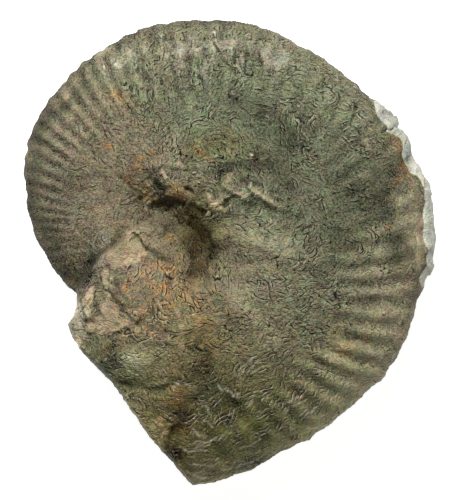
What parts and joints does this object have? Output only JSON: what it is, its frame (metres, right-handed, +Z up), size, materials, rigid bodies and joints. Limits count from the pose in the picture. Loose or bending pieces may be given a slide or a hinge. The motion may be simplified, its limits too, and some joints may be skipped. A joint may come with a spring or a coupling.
{
  "type": "fossil ammonite",
  "caption": "Fossil ammonite: stone filling of a flat coiled shell with fine ribs, frilled suture lines, a small deep navel, a broken end and a pale crust on its edge; lies on one flank.",
  "frame": {"origin": "middle of the bounding box's footprint, on the plane that the fossil rests on", "axes": "+Z up, out of the upper flank; the coil lies in the XY plane and grows clockwise as seen from above; -Y towards the tip of the broken end"},
  "size_m": [0.0969, 0.1094, 0.0342],
  "materials": {
    "stone": "green-grey and brown limestone, dull with a slight polish"
  },
  "bodies": {
    "root": {"ammonite": "stone"}
  },
  "joints": []
}
